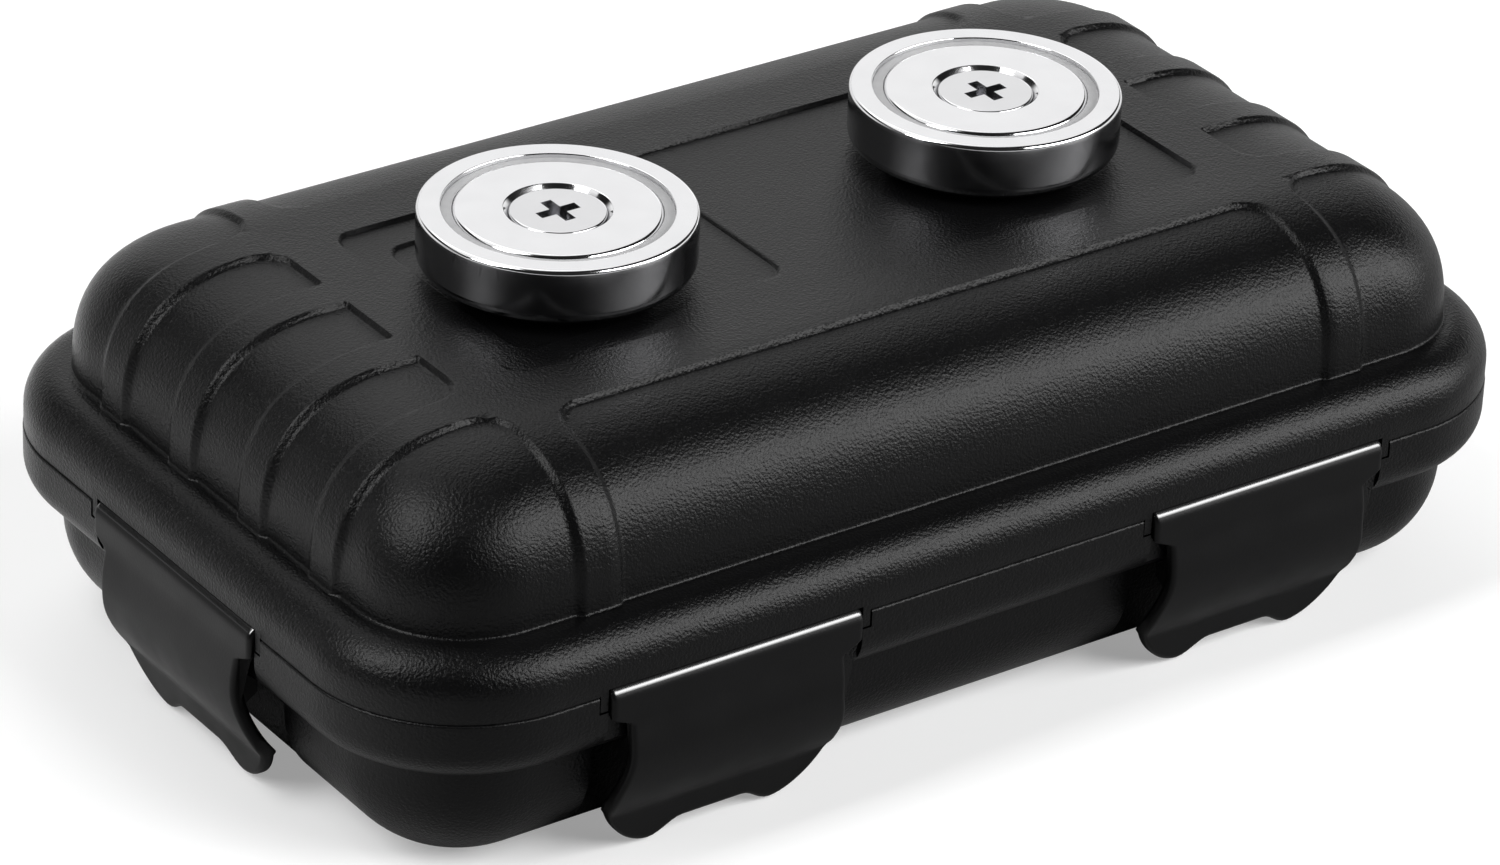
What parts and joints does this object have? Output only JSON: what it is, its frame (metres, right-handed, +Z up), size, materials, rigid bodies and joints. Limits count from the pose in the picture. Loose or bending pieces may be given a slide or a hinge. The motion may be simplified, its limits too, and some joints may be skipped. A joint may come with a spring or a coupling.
{
  "type": "magnetic key holder box",
  "caption": "Sealed moulded key box with a lift-off lid, flip-up latches on all sides, and flat pot magnets screwed to the lid so that it clings to steel.",
  "frame": {"origin": "under the middle of the base, on the face that the box rests on", "axes": "+X along the long sides, +Y towards the rear long side, +Z up towards the magnets"},
  "size_m": [0.1626, 0.0976, 0.0554],
  "materials": {
    "shell": "satin, finely grained",
    "latch": "satin",
    "rubber": "matte",
    "chrome": "bright nickel plating",
    "steel": "zinc plated",
    "potting": "grey potting resin"
  },
  "bodies": {
    "base": {"base_shell": "shell", "lid_gasket": "rubber"},
    "lid": {"lid_shell": "shell", "front_latch_pin_left": "steel", "front_latch_pin_right": "steel", "rear_latch_pin_left": "steel", "rear_latch_pin_right": "steel", "end_latch_pin_left": "steel", "end_latch_pin_right": "steel", "magnet_cup_left": "chrome", "magnet_cup_right": "chrome", "magnet_ring_left": "chrome", "magnet_ring_right": "chrome", "magnet_filler_left": "potting", "magnet_filler_right": "potting", "magnet_screw_left": "chrome", "magnet_screw_right": "chrome", "magnet_seal_left": "rubber", "magnet_seal_right": "rubber", "magnet_washer_left": "steel", "magnet_washer_right": "steel", "magnet_nut_left": "steel", "magnet_nut_right": "steel"},
    "front_latch_left": {"front_latch_left": "latch"},
    "front_latch_right": {"front_latch_right": "latch"},
    "rear_latch_left": {"rear_latch_left": "latch"},
    "rear_latch_right": {"rear_latch_right": "latch"},
    "end_latch_left": {"end_latch_left": "latch"},
    "end_latch_right": {"end_latch_right": "latch"}
  },
  "joints": [
    {"name": "lid_lift", "type": "slide", "parent": "base", "child": "lid", "axis": [0, 0, 1], "range_m": [0, 0.18]},
    {"name": "front_latch_left_swing", "type": "hinge", "parent": "lid", "child": "front_latch_left", "pos_m": [-0.0372, -0.0465, 0.0225], "axis": [-1, 0, 0], "range_deg": [0, 85]},
    {"name": "front_latch_right_swing", "type": "hinge", "parent": "lid", "child": "front_latch_right", "pos_m": [0.0372, -0.0465, 0.0225], "axis": [-1, 0, 0], "range_deg": [0, 85]},
    {"name": "rear_latch_left_swing", "type": "hinge", "parent": "lid", "child": "rear_latch_left", "pos_m": [-0.0372, 0.0465, 0.0225], "axis": [1, 0, 0], "range_deg": [0, 85]},
    {"name": "rear_latch_right_swing", "type": "hinge", "parent": "lid", "child": "rear_latch_right", "pos_m": [0.0372, 0.0465, 0.0225], "axis": [1, 0, 0], "range_deg": [0, 85]},
    {"name": "end_latch_left_swing", "type": "hinge", "parent": "lid", "child": "end_latch_left", "pos_m": [-0.079, 0, 0.0225], "axis": [0, 1, 0], "range_deg": [0, 85]},
    {"name": "end_latch_right_swing", "type": "hinge", "parent": "lid", "child": "end_latch_right", "pos_m": [0.079, 0, 0.0225], "axis": [0, -1, 0], "range_deg": [0, 85]}
  ]
}
